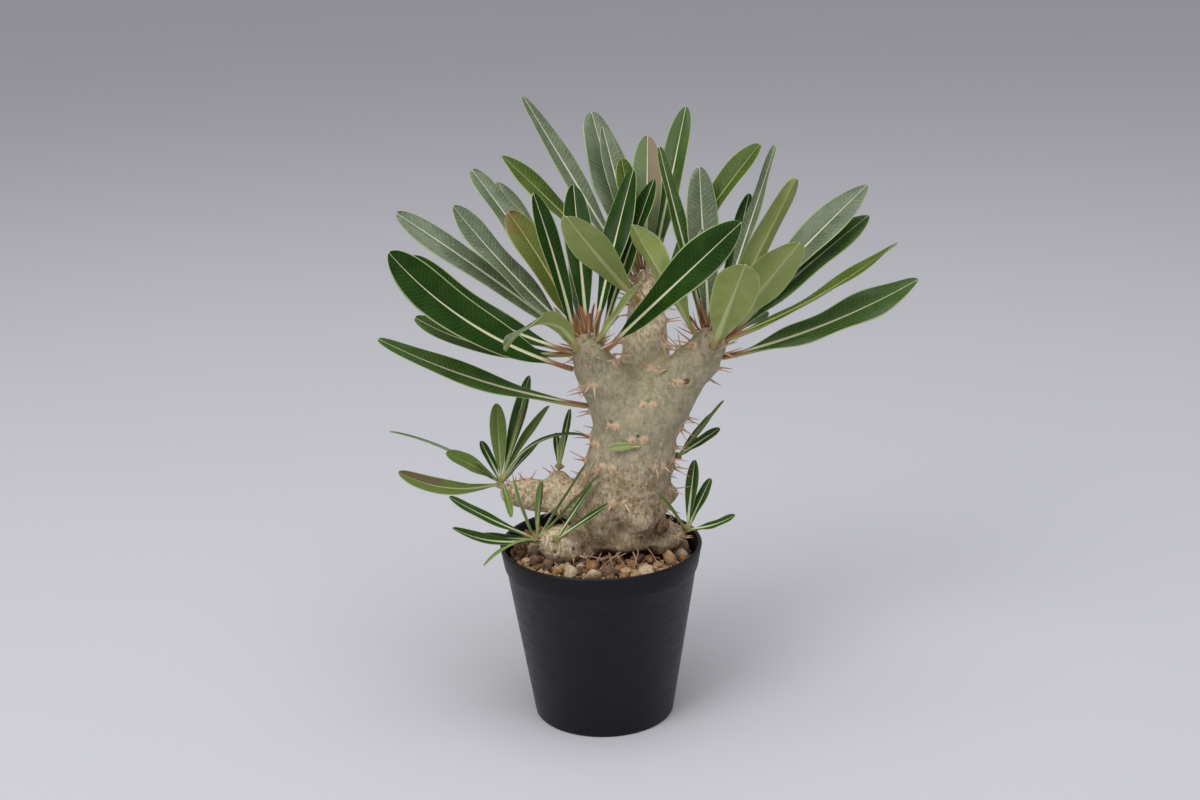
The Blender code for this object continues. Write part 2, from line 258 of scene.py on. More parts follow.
# %% Turn the pot
bm = bmesh.new()
step = POT_HEIGHT - BAND
rail = [
    (0.0, 0.6), (FOOT_R - 6.0, 0.6), (FOOT_R - 5.4, 0.02), (FOOT_R - 1.2, 0.0), (FOOT_R - 0.3, 0.5),
    (FOOT_R, FLOOR), (outer_radius(step - 1.1), step - 1.1), (outer_radius(step) + PROUD - 0.15, step - 0.2),
    (outer_radius(step) + PROUD, step + 0.4), (RIM_R, POT_HEIGHT - 1.0), (RIM_R - 0.35, POT_HEIGHT - 0.25),
    (RIM_R - 1.0, POT_HEIGHT), (RIM_R - 1.7, POT_HEIGHT - 0.3), (RIM_R - 2.1, POT_HEIGHT - 1.1),
    (outer_radius(step) - WALL, step), (outer_radius(3.0) - WALL, 3.0),
    (outer_radius(FLOOR) - WALL - 0.8, FLOOR), (0.0, FLOOR),
]
verts = [bm.verts.new((radius, 0, height)) for radius, height in rail]
edges = [bm.edges.new(pair) for pair in zip(verts, verts[1:])]
bmesh.ops.spin(
    bm, geom=verts + edges, axis=(0, 0, 1), cent=(0, 0, 0), angle=2 * pi, steps=128, use_merge=True)
bmesh.ops.remove_doubles(bm, verts=bm.verts, dist=0.01)
bmesh.ops.recalc_face_normals(bm, faces=bm.faces)
cutter = bmesh.new()
for index in range(DRAINS):
    angle = 2 * pi * index / DRAINS
    spot = Matrix.Translation((DRAIN_RING * cos(angle), DRAIN_RING * sin(angle), 1))
    bmesh.ops.create_cone(
        cutter, cap_ends=True, segments=24, radius1=DRAIN_R, radius2=DRAIN_R, depth=8, matrix=spot)
print("pot profile of", len(rail), "points,", len(bm.faces), "faces")

# %% [markdown]
# Black moulded plastic isn't mirror-black: its skin has a fine orange-peel grain, faint scuffs round
# the wall from handling, and a little pale dust, most of it near the foot and on the rim.

# %% Pot plastic
pot_plastic, tree, shader = new_material("black_moulded_plastic")
place = place_of(tree)
height = add_node(tree, "ShaderNodeSeparateXYZ", {"Vector": place}).outputs[2]
scuffs = span(tree, grain(tree, place, 60, 5, 0.6), 0.50, 0.75)
dust = times(
    tree, span(tree, grain(tree, place, 900, 3, 0.6), 0.58, 0.75),
    span(tree, grain(tree, place, 45), 0.45, 0.7, 0.1, 0.6))
dust = times(tree, dust, span(tree, height, 0.095, 0.0, 0.25, 0.7))
black = blend(tree, scuffs, (0.0062, 0.0062, 0.0078), (0.0085, 0.0085, 0.0105))
put(tree, shader.inputs["Base Color"], blend(tree, dust, black, (0.060, 0.057, 0.052)))
rough = span(tree, grain(tree, place, 110, 5, 0.6, (1, 1, 3)), 0.3, 0.75, 0.36, 0.47)
put(tree, shader.inputs["Roughness"], plus(tree, rough, times(tree, dust, 0.3)))
bumped(tree, shader, grain(tree, place, 1500, 3, 0.5), 0.12, 0.0004)
shader.inputs["Specular IOR Level"].default_value = 0.22

shell = finish_piece("nursery_pot", bm, [pot_plastic], ["pot"])
mesh = bpy.data.meshes.new("drain_cutter")
bmesh.ops.scale(cutter, vec=(MM, MM, MM), verts=cutter.verts)
cutter.to_mesh(mesh)
cutter.free()
punch = bpy.data.objects.new("drain_cutter", mesh)
scene.collection.objects.link(punch)
holes = shell.modifiers.new("Drain holes", "BOOLEAN")
holes.operation = "DIFFERENCE"
holes.solver = "EXACT"
holes.object = punch
shell.data = baked(shell)
shell.modifiers.clear()
bpy.data.objects.remove(punch)
shell.data.set_sharp_from_angle(angle=radians(50))
print("pot has", len(shell.data.polygons), "faces after its holes are cut")

# %% [markdown]
# ## What a leaf is
# A leaf grows from the stem on a short stalk, widens past its middle and ends in a round tip. It is
# folded a little along its midrib, arches along its length and is rolled about its midrib. So a leaf
# is one row of numbers: heading about the pot's axis, rise of its chord, length, width, arch, roll,
# and how high on the crown it grows. These are the same rows that the measured model was grown from,
# with a tone for its face. Rows are in millimetres and degrees, heights are above the grit.

# %% The leaves' rows
CROWNS = {"left": (-4, -2, 114), "top": (26, 25, 136), "right": (57, 1, 115), "shoulder": (12, 4, 82)}
# a row's last word picks its face; the grey face is painted sheen on a green leaf
CROWN_LEAVES = {
    "left": (
        (190, 36, 112, 23, -34, -58, -52, "dark"), (178, 32, 95, 17, -36, -38, -6, "dark"),
        (164, 34, 112, 17, 6, -30, 28, "grey"), (165, 46, 91, 19, -10, -20, 45, "grey"),
        (137, 44, 109, 18, 8, -5, 75, "grey"), (156, 58, 72, 20, 14, -25, 56, "blotched"),
        (338, 44, 99, 22, 0, 62, -2, "dark"), (99, 64, 78, 15, 0, 0, 62, "dark"),
        (185, 76, 78, 11, 6, -70, 35, "dark"), (52, 66, 87, 16, 6, 0, 50, "dark"),
        (44, 62, 88, 14, 4, 0, 15, "dark"), (226, 12, 60, 20, 118, 30, 5, "grey"),
        (172, 12, 84, 15, -38, -30, -12, "green"), (316, 48, 46, 7, 0, 0, 45, "dark"),
        (100, 46, 52, 7, 0, 0, 0, "grey"), (150, 36, 36, 9, 0, 0, 8, "dark"),
        (126, 44, 101, 14, 4, 0, 40, "grey"),
    ),
    "top": (
        (153, 41, 100, 16, 8, -10, 10, "olive"), (147, 54, 114, 15, 0, -10, 40, "grey"),
        (115, 57, 100, 23, 0, 0, 20, "grey"), (117, 63, 84, 11, 4, 0, 40, "grey"),
        (122, 72, 58, 13, 0, 0, 75, "olive"), (85, 66, 73, 16, 0, 0, 58, "rosy"),
        (62, 62, 94, 14, 0, 0, 45, "green"), (8, 53, 88, 16, 6, 30, 30, "olive"),
        (241, 38, 90, 18, -6, 35, -12, "dark"),
    ),
    "right": (
        (45, 62, 99, 12, 0, -18, 50, "grey"), (58, 62, 77, 10, 0, 0, 10, "dark"),
        (345, 64, 87, 16, 0, -40, 55, "spotted"), (14, 43, 105, 19, 5, 30, 28, "grey"),
        (16, 37, 98, 17, 5, 30, 0, "green"), (355, 30, 98, 12, -20, 10, 16, "olive"),
        (0, 21, 106, 19, -18, 35, -52, "green"), (303, 44, 86, 20, 0, -35, 20, "dark"),
        (280, 42, 82, 22, 0, -30, 0, "dark"), (126, 68, 95, 9, 0, 0, 60, "green"),
        (97, 75, 82, 17, 0, 0, 50, "grey"), (97, 74, 50, 12, 0, 0, 78, "grey"),
        (192, 61, 67, 17, 0, 40, 35, "dark"), (60, 3, 60, 14, 0, 0, -15, "dark"),
    ),
    "shoulder": ((186, 21, 113, 15, -20, -30, 5, "green"),),
}

# %% [markdown]
# Leaves are laid from a flat grid. The columns run across and are packed closer to the midrib, where
# the surface turns fastest, and the rows are packed closer to the tip, so that it comes out round. The
# grid also stores where each point is on its leaf: how far along, how far from the midrib in
# millimetres, which side, and how close to the margin. The finish reads those, so its veins follow
# every bend. A weight says how thick the leaf is there: a full stalk and midrib, a thin blade.

# %% Lay one leaf
STALK_SHARE = 0.13
READINGS = ("along", "reach", "from_rib", "side", "edge", "tone")


def clamp(value):
    return min(1.0, max(0.0, value))


def stations(steps):
    return [1 - (1 - step / steps) ** 1.35 for step in range(steps + 1)]


def leaf_line(start, row, shares):
    """Points and directions along the midrib, as one arc."""
    heading, rise, length, _width, arch = row[:5]
    forward = Vector((cos(radians(heading)), sin(radians(heading)), 0))
    point, last, line = start.copy(), 0.0, []
    for share in shares:
        middle = radians(rise + arch * (0.5 - (share + last) / 2))
        point += (forward * cos(middle) + UP * sin(middle)) * (length * (share - last))
        slope = radians(rise + arch * (0.5 - share))
        line.append((point.copy(), forward * cos(slope) + UP * sin(slope)))
        last = share
    return line


def half_width(share, width, stalk):
    along = clamp((share - STALK_SHARE) / (1 - STALK_SHARE))
    blade = along ** 0.85 * (1 - along ** 1.6) ** 0.6 / 0.458
    rim = stalk * (1 - 0.65 * share)
    return (rim + (width - rim) * blade) / 2


def lay_leaf(bm, row, start, stalk, steps, columns, seed, waviness=1.0):
    layers = {name: bm.verts.layers.float.get(name) or bm.verts.layers.float.new(name) for name in READINGS}
    weight = bm.verts.layers.deform.verify()
    dice = random.Random(seed)
    length, width, roll = row[2], row[3], radians(row[5])
    tone, phase, waves = dice.random(), dice.uniform(0, 6), dice.uniform(1.4, 2.6)
    fold, droop = dice.uniform(0.26, 0.40), dice.uniform(0.10, 0.28)
    shares = stations(steps)
    line = leaf_line(start, row, shares)
    laid = bmesh.ops.create_grid(bm, x_segments=steps, y_segments=columns, size=0.5)["verts"]
    for vertex in laid:
        step = round((vertex.co.x + 0.5) * steps)
        column = -vertex.co.y * 2
        across = abs(column) ** 1.5 * (1 if column > 0 else -1)
        share = shares[step]
        point, tangent = line[step]
        side = tangent.cross(UP).normalized()
        side.rotate(Matrix.Rotation(roll, 3, tangent))
        upper = side.cross(tangent)
        reach = half_width(share, width, stalk)
        edge = abs(across)
        blade = clamp((share - 0.05) / 0.25)
        lift = reach * (fold * edge - droop * edge * edge) * blade
        wave = sin(waves * 6.28 * share + phase + (column > 0) * 2)
        lift += 0.075 * width * waviness * edge * edge * blade * wave
        groove = exp(-((across * reach) / 0.75) ** 2) * 0.45 * blade * (1 - 0.5 * share)
        vertex.co = point + side * (across * reach) + upper * (lift - groove + 0.35)
        readings = (share, share * length, edge * reach, across, edge if share > 0.2 else 0.0, tone)
        for name, value in zip(READINGS, readings):
            vertex[layers[name]] = value
        rib = exp(-((across * reach) / 1.1) ** 2)
        stem_like = max(0.0, 1 - share / 0.28)
        body = 0.16 * (1 - edge ** 3) + rib * (0.55 * (1 - share) + 0.1) + stem_like ** 0.7
        vertex[weight][0] = min(1.0, body)
    return laid


def thicken(piece, thickness):
    """A skin below the face, thick where the weight says so, with its own finish, and then smoothed."""
    piece.vertex_groups.new(name="body")
    wall = piece.modifiers.new("Body", "SOLIDIFY")
    wall.thickness = thickness * MM
    wall.offset = -1
    wall.vertex_group = "body"
    wall.thickness_vertex_group = 0.12
    wall.material_offset = 1
    wall.material_offset_rim = 1
    smooth = piece.modifiers.new("Smooth", "SUBSURF")
    smooth.levels = smooth.render_levels = 1


# %% [markdown]
# ## The leaf's skin
# The same effect paints every leaf, so it is a node group: a blade colour that varies softly, a pale
# midrib that narrows towards the tip, fine side veins that leave it at a slant, a thin pale margin, a
# tinted stalk, blotches and specks. It puts out a colour, a roughness and a height, and each leaf
# material keeps its own shader.

# %% Leaf group
leaf_group = bpy.data.node_groups.new("leaf_skin", "ShaderNodeTree")
COLOURS = ("Blade", "Shade", "Rib", "Margin", "Stalk", "Blotch")
NUMBERS = (("Veins", 0.5), ("Rib width", 0.9), ("Blotches", 0.0), ("Half blush", 0.0), ("Specks", 0.0),
           ("Roughness", 0.42))
for name in COLOURS:
    leaf_group.interface.new_socket(name, in_out="INPUT", socket_type="NodeSocketColor")
for name, value in NUMBERS:
    socket = leaf_group.interface.new_socket(name, in_out="INPUT", socket_type="NodeSocketFloat")
    socket.default_value = value
leaf_group.interface.new_socket("Colour", in_out="OUTPUT", socket_type="NodeSocketColor")
leaf_group.interface.new_socket("Roughness", in_out="OUTPUT", socket_type="NodeSocketFloat")
leaf_group.interface.new_socket("Height", in_out="OUTPUT", socket_type="NodeSocketFloat")
tree = leaf_group
given = add_node(tree, "NodeGroupInput").outputs
place = place_of(tree)
along, reach, from_rib = (attribute(tree, name) for name in ("along", "reach", "from_rib"))
side, edge, tone = (attribute(tree, name) for name in ("side", "edge", "tone"))
cloud = grain(tree, place, 90, 4, 0.6)
fine = grain(tree, place, 900, 3, 0.6)
# the side veins: a slanted ruler along the leaf, shaken a little, with a line at each mark
slant = sums(tree, "SUBTRACT", reach, times(tree, from_rib, 0.75))
slant = plus(tree, slant, times(tree, grain(tree, place, 160), 1.6))
slant = plus(tree, slant, times(tree, grain(tree, place, 55), 7.0))
marks = sums(tree, "FRACT", sums(tree, "DIVIDE", slant, 2.6))
marks = sums(tree, "ABSOLUTE", sums(tree, "SUBTRACT", marks, 0.5))
veins = times(tree, span(tree, marks, 0.07, 0.0), span(tree, along, 0.12, 0.3))
veins = times(tree, veins, span(tree, edge, 0.97, 0.8))
vein_share = times(tree, veins, given["Veins"])
# the midrib narrows from the stalk to the tip
rib_half = times(tree, given["Rib width"], span(tree, along, 0.0, 1.05, 1.0, 0.22))
rib = sums(tree, "DIVIDE", plus(tree, from_rib, times(tree, fine, 0.16)), rib_half)
rib = span(tree, rib, 1.35, 0.75)
margin = span(tree, plus(tree, edge, times(tree, cloud, 0.05)), 0.95, 0.99)
stalk = span(tree, plus(tree, along, times(tree, cloud, 0.05)), 0.20, 0.10)
mottled = blend(tree, span(tree, cloud, 0.35, 0.68), given["Blade"], given["Shade"])
mottled = blend(tree, times(tree, tone, 0.45), mottled, given["Shade"])
lines = blend(tree, vein_share, mottled, given["Rib"])
blot = span(tree, plus(tree, grain(tree, place, 38, 3, 0.5), given["Blotches"]), 0.98, 1.18)
far_side = span(tree, plus(tree, side, times(tree, cloud, 0.3)), 0.05, 0.3)
far_end = span(tree, plus(tree, along, times(tree, cloud, 0.5)), 0.65, 0.95)
half = times(tree, times(tree, far_side, far_end), given["Half blush"])
blushed = blend(tree, sums(tree, "MAXIMUM", blot, half), lines, given["Blotch"])
speck = times(tree, span(tree, grain(tree, place, 1300, 2, 0.5), 0.60, 0.72), given["Specks"])
dusted = blend(tree, speck, blushed, (0.42, 0.46, 0.40))
edged = blend(tree, times(tree, margin, 0.75), dusted, given["Margin"])
ribbed = blend(tree, rib, edged, given["Rib"])
painted = blend(tree, stalk, ribbed, given["Stalk"])
gloss = plus(tree, given["Roughness"], span(tree, cloud, 0.3, 0.7, -0.05, 0.06))
gloss = plus(tree, gloss, times(tree, speck, 0.25))
relief = plus(tree, times(tree, veins, -0.35), times(tree, fine, 0.25))
relief = plus(tree, relief, times(tree, grain(tree, place, 260, 3, 0.5), 0.5))
relief = sums(tree, "SUBTRACT", relief, times(tree, rib, 0.3))
out = add_node(tree, "NodeGroupOutput")
for socket, value in zip(out.inputs, (painted, gloss, relief)):
    tree.links.new(value, socket)
print("leaf group has", len(tree.nodes), "nodes")


# %% Leaf materials
def leaf_material(name, colours, numbers, sheen=0.22):
    made, tree, shader = new_material(name)
    skin = add_node(tree, "ShaderNodeGroup", node_tree=leaf_group)
    for key, value in zip(COLOURS, colours):
        skin.inputs[key].default_value = (*value, 1)
    for key, value in numbers.items():
        skin.inputs[key].default_value = value
    tree.links.new(skin.outputs["Colour"], shader.inputs["Base Color"])
    tree.links.new(skin.outputs["Roughness"], shader.inputs["Roughness"])
    bumped(tree, shader, skin.outputs["Height"], 0.5, 0.0008)
    shader.inputs["Specular IOR Level"].default_value = sheen
    return made


CREAM, RED_STALK, PALE_STALK = (0.64, 0.64, 0.42), (0.33, 0.165, 0.085), (0.40, 0.33, 0.12)
NO_BLOTCH = (0.10, 0.05, 0.02)
# the underside: its own paler green, raised further by painted light, a glow for light shining through the
# thin leaf and a lift against the shade on downturned undersides
UNDERSIDE_PAINTED_GLOW = leaf_material(
    "leaf_underside_painted_glow",
    ((0.27, 0.335, 0.085), (0.33, 0.39, 0.13), (0.52, 0.55, 0.24), (0.42, 0.48, 0.20), PALE_STALK, NO_BLOTCH),
    {"Veins": 0.28, "Roughness": 0.5, "Rib width": 1.0}, 0.2)
FACES = {
    "dark": leaf_material(
        "leaf_dark_green",
        ((0.0085, 0.034, 0.0015), (0.017, 0.054, 0.0040), CREAM, (0.36, 0.44, 0.22), RED_STALK, NO_BLOTCH),
        {"Veins": 0.06, "Roughness": 0.36}, 0.15),
    "green": leaf_material(
        "leaf_mid_green",
        ((0.032, 0.078, 0.009), (0.054, 0.105, 0.020), CREAM, (0.32, 0.40, 0.16), RED_STALK, NO_BLOTCH),
        {"Veins": 0.13, "Roughness": 0.36, "Specks": 0.2}, 0.22),
    # grey: painted sheen, a paler grey copy of the green leaf's colour for the upturned faces that catch the
    # overhead lamp
    "grey": leaf_material(
        "leaf_grey_green_painted_sheen",
        ((0.078, 0.112, 0.052), (0.135, 0.170, 0.098), (0.68, 0.69, 0.50), (0.40, 0.47, 0.30), RED_STALK,
         NO_BLOTCH),
        {"Veins": 0.32, "Roughness": 0.36, "Specks": 0.45}, 0.34),
    "olive": leaf_material(
        "leaf_olive",
        ((0.046, 0.086, 0.006), (0.078, 0.120, 0.015), (0.42, 0.44, 0.15), (0.32, 0.36, 0.11), RED_STALK,
         NO_BLOTCH),
        {"Veins": 0.40, "Roughness": 0.40, "Specks": 0.1}),
    "blotched": leaf_material(
        "leaf_blotched",
        ((0.085, 0.120, 0.016), (0.125, 0.155, 0.028), (0.46, 0.44, 0.16), (0.30, 0.31, 0.09), RED_STALK,
         (0.20, 0.075, 0.03)),
        {"Veins": 0.35, "Roughness": 0.40, "Blotches": 0.50}),
    "rosy": leaf_material(
        "leaf_rosy",
        ((0.12, 0.18, 0.075), (0.16, 0.22, 0.10), (0.66, 0.64, 0.44), (0.40, 0.46, 0.24), RED_STALK,
         (0.25, 0.17, 0.115)),
        {"Veins": 0.3, "Roughness": 0.42, "Half blush": 0.8}),
    "spotted": leaf_material(
        "leaf_spotted",
        ((0.21, 0.225, 0.075), (0.25, 0.24, 0.10), (0.46, 0.45, 0.22), (0.38, 0.38, 0.18), RED_STALK,
         (0.020, 0.014, 0.010)),
        {"Veins": 0.25, "Roughness": 0.45, "Blotches": 0.34}),
}
print(len(FACES), "leaf faces and one underside")

# %% [markdown]
# ## Where leaves meet the stem
# Each leaf starts where a line from inside its crown leaves the measured stem, its stalk sunk 0.8 mm
# below that surface. The skin is smoothed later, so a few stalks still end up to 0.7 mm short of it.
# Buds and spines that no hand placed follow the golden angle in which a plant sets each new leaf from
# the last.

# %% Find the stem's surface
GOLDEN = 137.5
depsgraph = bpy.context.evaluated_depsgraph_get()
stem_tree = BVHTree.FromObject(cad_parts["stem"], depsgraph)


def above_grit(place):
    return Vector((place[0], place[1], place[2] + GRIT_TOP))


def aim(heading, rise):
    flat = cos(radians(rise))
    return Vector((cos(radians(heading)) * flat, sin(radians(heading)) * flat, sin(radians(rise))))


def measured_copy(node):
    """A mesh of the measured model, sewn together where its facets meet."""
    bm = bmesh.new()
    bm.from_mesh(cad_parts[node].data)
    bmesh.ops.remove_doubles(bm, verts=bm.verts, dist=0.00001)
    return bm


def in_millimetres(bm):
    bmesh.ops.scale(bm, vec=(1 / MM, 1 / MM, 1 / MM), verts=bm.verts)


def on_stem(inside, direction):
    """Where a line from a point inside the stem leaves it, and the skin's direction there."""
    hit, normal, _face, _far = stem_tree.ray_cast(above_grit(inside) * MM, direction)
    return hit / MM, normal


# %% Grow the crown leaves
count = 0
for crown, rows in CROWN_LEAVES.items():
    for number, row in enumerate(rows, 1):
        outwards = aim(row[0], row[6])
        start = on_stem(CROWNS[crown], outwards)[0] - outwards * 0.8
        bm = bmesh.new()
        lay_leaf(bm, row, start, 2.7, 30, 12, crown + str(number))
        piece = finish_piece(
            f"blade_{crown}_{number:02d}", bm, [FACES[row[7]], UNDERSIDE_PAINTED_GLOW],
            [f"leaf_{crown}_{number:02d}"])
        thicken(piece, 1.9)
        count += 1
print(count, "crown leaves")

# %% [markdown]
# ## The offsets' small leaves
# Each offset carries a tuft of narrow leaves, dark with a white stripe down the middle. They are laid
# in the same way, several in one mesh, round a small scaly heart.

# %% The tufts' rows
TUFTS = {
    "left": ((-44, 8, 35), (-0.75, -0.1, 0.65), (
        (98, 72, 41, 9, 0, 0, "pale"), (58, 60, 58, 9, 0, 0, "striped"), (40, 46, 48, 7, 20, 0, "pale"),
        (36, 68, 48, 4, 0, 0, "purple"), (130, 48, 25, 6, 0, 0, "striped"),
        (195, 34, 34, 10, 10, -40, "pale"), (176, 26, 64, 3, 30, 0, "striped"),
        (186, 10, 55, 10, -50, -40, "purple"), (172, 2, 42, 7, -30, 0, "pale"),
        (20, 20, 58, 4, 90, 0, "striped"), (45, 30, 33, 4, 0, 0, "striped"),
        (284, -25, 26, 4, 40, 0, "pale"), (205, 45, 19, 5, 0, 0, "pale"))),
    "stub": ((-21, 10, 40), (0.0, 0.2, 1.0), (
        (75, 46, 34, 4, 0, 0, "striped"), (95, 37, 22, 4, 0, 0, "striped"), (300, 76, 19, 3, 0, 0, "pale"))),
    "front": ((-25, -8, 12.3), (-0.93, 0.0, 0.36), (
        (205, 71, 36, 5, -20, 0, "striped"), (290, 72, 37, 4, 20, 0, "pale"),
        (355, 57, 49, 5, 0, 0, "striped"), (350, 47, 49, 5, 0, 0, "striped"),
        (200, 33, 54, 8, -10, -30, "striped"), (203, 17, 48, 7, -40, -30, "striped"),
        (190, 8, 33, 6, -10, -30, "striped"), (215, -12, 34, 3, 50, 0, "pale"))),
    "front_side": ((-21, -8, 12), (-0.15, -0.75, 0.5), (
        (350, 57, 36, 5, 0, 30, "striped"), (345, 37, 35, 5, 0, 30, "striped"))),
    "right": ((39.5, 0, 11.5), (0.75, -0.1, 0.62), (
        (70, 66, 36, 7, 0, 0, "striped"), (50, 46, 30, 7, 0, 0, "striped"),
        (345, 21, 27, 7, -30, 20, "striped"), (225, 50, 35, 4, 0, 0, "pale"))),
    "back": ((34, 16, 46), (0.8, 0.5, 0.3), (
        (45, 31, 33, 5, 0, 0, "striped"), (35, 38, 40, 3, 0, 0, "pale"), (15, 29, 27, 6, 0, 30, "striped"),
        (30, 28, 16, 5, 0, 30, "pale"))),
}
HEART_R = 2.8

# %% The tufts' finishes
STALK_GREEN = (0.40, 0.40, 0.17)
TUFT_TONES = {
    "striped": leaf_material(
        "tuft_striped",
        ((0.022, 0.060, 0.006), (0.040, 0.088, 0.014), (0.60, 0.66, 0.42), (0.22, 0.30, 0.09), STALK_GREEN,
         NO_BLOTCH),
        {"Veins": 0.0, "Rib width": 0.75, "Roughness": 0.40}),
    "pale": leaf_material(
        "tuft_pale",
        ((0.125, 0.190, 0.040), (0.170, 0.225, 0.060), (0.36, 0.42, 0.16), (0.26, 0.34, 0.10), STALK_GREEN,
         NO_BLOTCH),
        {"Veins": 0.15, "Rib width": 0.55, "Roughness": 0.42}),
    "purple": leaf_material(
        "tuft_purple",
        ((0.120, 0.175, 0.035), (0.160, 0.200, 0.050), (0.42, 0.44, 0.20), (0.30, 0.33, 0.12), STALK_GREEN,
         (0.13, 0.062, 0.048)),
        {"Veins": 0.15, "Rib width": 0.6, "Roughness": 0.42, "Half blush": 0.7}),
}
TUFT_UNDER = leaf_material(
    "tuft_underside",
    ((0.150, 0.220, 0.060), (0.190, 0.260, 0.080), (0.42, 0.48, 0.22), (0.30, 0.38, 0.14), STALK_GREEN,
     NO_BLOTCH),
    {"Veins": 0.0, "Rib width": 0.55, "Roughness": 0.5})
TUFT_FINISHES = [stuff for face in TUFT_TONES.values() for stuff in (face, TUFT_UNDER)]

# %% Grow the tufts
hearts = bmesh.new()
for name, (inside, facing, rows) in TUFTS.items():
    facing = Vector(facing).normalized()
    heart = on_stem(inside, facing)[0] + facing * (HEART_R - 0.6)
    bm = bmesh.new()
    for number, row in enumerate(rows):
        start = heart + aim(row[0], row[1] + row[4] / 2) * 0.4 - facing * 0.8
        laid = lay_leaf(bm, row, start, 1.25, 22, 6, name + str(number), 0.5)
        for face in {face for vertex in laid for face in vertex.link_faces}:
            face.material_index = 2 * list(TUFT_TONES).index(row[6])
    piece = finish_piece("tuft_" + name, bm, TUFT_FINISHES, ["rosette_" + name])
    thicken(piece, 1.15)
    # the scaly heart: overlapping buds packed round the tuft's middle
    for index in range(14):
        lean = (facing * 1.1 + aim(index * GOLDEN, -50 + 9 * index)).normalized()
        turn = lean.to_track_quat("Z", "Y").to_matrix().to_4x4()
        spot = Matrix.Translation(heart - facing * 1.6 + lean * 1.3)
        bmesh.ops.create_uvsphere(
            hearts, u_segments=8, v_segments=6, radius=1.0,
            matrix=spot @ turn @ Matrix.Diagonal((0.75, 0.75, 2.0, 1)))
heart_stuff, tree, shader = new_material("tuft_heart")
place = place_of(tree)
put(tree, shader.inputs["Base Color"], blend(
    tree, span(tree, grain(tree, place, 420, 3), 0.42, 0.60), (0.30, 0.29, 0.10), (0.36, 0.25, 0.13)))
roughened(tree, shader, place, 800, 0.55, 0.75)
bumped(tree, shader, grain(tree, place, 1400, 3), 0.5, 0.0005)
finish_piece("tuft_hearts", hearts, [heart_stuff])
print(len(TUFTS), "tufts")

# %% [markdown]
# ## The stem
# The stem is one swollen body. The measured mesh is copied, fused by a fine voxel Remesh and smoothed,
# which turns its facets into skin with enough points to shape. Then each point moves along its normal:
# soft lumps all over, short wrinkles low down, a swelling under each pair of spines, a dimple where
# each leaf once grew, and buttress knobs at the foot, which narrows below them so that the trunk
# stands on its roots with a dark gap under it.

# %% Copy and fuse the stem
bm = measured_copy("stem")
mesh = bpy.data.meshes.new("stem_copy")
bm.to_mesh(mesh)
bm.free()
rough_stem = bpy.data.objects.new("stem_copy", mesh)
scene.collection.objects.link(rough_stem)
fuse = rough_stem.modifiers.new("Fuse", "REMESH")
fuse.mode = "VOXEL"
fuse.voxel_size = 0.8 * MM
soften = rough_stem.modifiers.new("Soften", "SMOOTH")
soften.factor = 0.5
soften.iterations = 36
mesh = baked(rough_stem)
bpy.data.objects.remove(rough_stem)
print("stem skin has", len(mesh.vertices), "points")

# %% [markdown]
# The spines grow in pairs, one pair at the foot of every leaf that the plant has carried. The ones seen from
# the front are listed one by one: a point inside the stem, the way out, how far apart the two stand, their
# length, and how far they droop. Round the back and sides they follow the spiral in which leaves really grow,
# a golden angle from each to the next.

# %% Spine pairs
FRONT_PAIRS = (
    # inside point above the grit, heading, rise, spread, length, droop
    ((26, 8, 86), 268, 0, 5.0, 5, 0.3), ((9, 8, 76), 265, 0, 3.2, 5, 0.5),
    ((20, 8, 69), 270, 0, 6.2, 3, 0.1), ((2, 8, 64), 250, 0, 3.4, 5, 0.4),
    ((27, 8, 53), 282, 0, 5.6, 8, 0.7), ((8, 8, 54), 258, 0, 5.8, 8, 0.8),
    ((12, 8, 36), 264, 0, 6.6, 9, 0.9), ((-1, 2, 97), 262, 0, 2.6, 8, 0.9),
    ((41.5, 3, 97), 264, 0, 2.4, 8, -0.1), ((18, 8, 75), 352, 0, 3.0, 9, 0.1),
    ((18, 8, 68), 345, 4, 3.0, 9, 0.2), ((18, 8, 59), 352, 0, 2.8, 8, 0.0),
    ((16, 8, 54), 340, 0, 2.8, 8, 0.3), ((16, 8, 48), 352, 0, 2.6, 11, 0.1),
    ((15, 8, 36), 350, 0, 2.6, 10, 0.2), ((15, 8, 26), 345, 0, 2.6, 8, 0.3),
    ((16, 6, 76), 186, 10, 3.2, 8, 0.1), ((17, 8, 62), 182, 8, 3.0, 12, 0.0),
    ((15, 8, 53), 186, 0, 2.8, 9, -0.1), ((14, 8, 46), 196, 0, 2.8, 8, 0.1),
    ((12, 8, 36), 205, 0, 2.8, 8, 0.2),
)
LIMBS = (
    # foot, top, first height share, number of pairs, spine length
    ((13, 8, 30), (20, 9, 88), 0.02, 16, 8), ((7, 3, 90), (-4, -2, 112), 0.1, 9, 8),
    ((39, 5, 90), (57, 1, 113), 0.1, 9, 8), ((25, 16, 96), (26, 24, 134), 0.1, 12, 8),
    ((-12, 9, 30), (-44, 8, 35), 0.1, 11, 6), ((-11, -5, 9), (-24, -8, 12), 0.3, 5, 5),
    ((31, 1, 10), (40, 0, 12), 0.3, 4, 5),
)


def pair_at(inside, outwards, spread, length, droop, pairs):
    place, normal = on_stem(inside, outwards)
    side = normal.cross(UP)
    side = (side if side.length > 0.1 else Vector((1, 0, 0))).normalized()
    lift = side.cross(normal)
    pairs.append((place, normal, side, lift, spread, length, droop))


